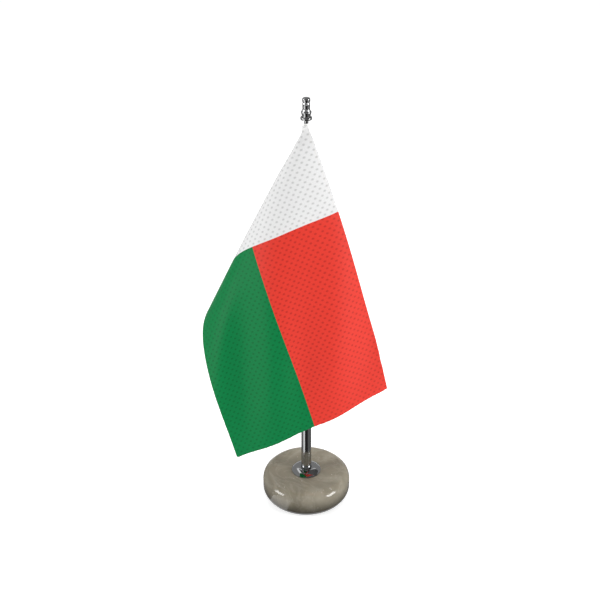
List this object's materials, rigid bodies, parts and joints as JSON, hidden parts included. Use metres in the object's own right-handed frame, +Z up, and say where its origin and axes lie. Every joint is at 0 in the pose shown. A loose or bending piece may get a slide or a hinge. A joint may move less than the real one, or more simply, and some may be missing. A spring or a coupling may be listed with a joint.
{
  "type": "desk flag stand",
  "caption": "Desk flag stand: a round stone foot, a chromed sliding pole with a screw-on finial, and a cloth flag that swivels on its hoist sleeve.",
  "frame": {"origin": "centre of the foot pad's underside, on the pole's axis", "axes": "+Z up the pole, -Y towards the front of the flag, +X towards the flag's free upper corner"},
  "size_m": [0.136, 0.0855, 0.33],
  "materials": {
    "stone": "polished stone",
    "pad": "felt",
    "zinc_steel": "zinc plated",
    "chrome": "polished",
    "brass": "turned",
    "o_ring": "matt",
    "white_plastic": "satin",
    "white_cloth": "satin knit",
    "flag_cloth": "satin knit"
  },
  "bodies": {
    "stand": {"base_stone": "stone", "foot_pad": "pad", "clamp_screw": "zinc_steel", "clamp_washer": "zinc_steel", "lock_washer": "zinc_steel", "foot_flange": "chrome", "lower_tube": "chrome", "tube_plug": "brass", "tube_collar": "chrome"},
    "mast": {"mast_rod": "chrome", "rod_slider": "brass", "slider_ring": "o_ring", "sleeve_stop": "white_plastic"},
    "flag": {"hoist_sleeve": "white_cloth", "flag_field": "flag_cloth"},
    "captive_ring": {"finial_ring": "chrome"},
    "finial": {"finial_body": "chrome"}
  },
  "joints": [
    {"name": "mast_slide", "type": "slide", "parent": "stand", "child": "mast", "axis": [0, 0, 1], "range_m": [0, 0.1]},
    {"name": "flag_swivel", "type": "hinge", "parent": "mast", "child": "flag", "pos_m": [0, 0, 0.24], "axis": [0, 0, 1], "continuous": true},
    {"name": "finial_lift", "type": "slide", "parent": "mast", "child": "captive_ring", "axis": [0, 0, 1], "range_m": [0, 0.004]},
    {"name": "finial_turn", "type": "hinge", "parent": "captive_ring", "child": "finial", "pos_m": [0, 0, 0.32], "axis": [0, 0, 1], "range_deg": [0, 2880]}
  ],
  "couplings": [
    {"joint": "finial_turn", "follows": "finial_lift", "rad_per_m": 12566}
  ]
}
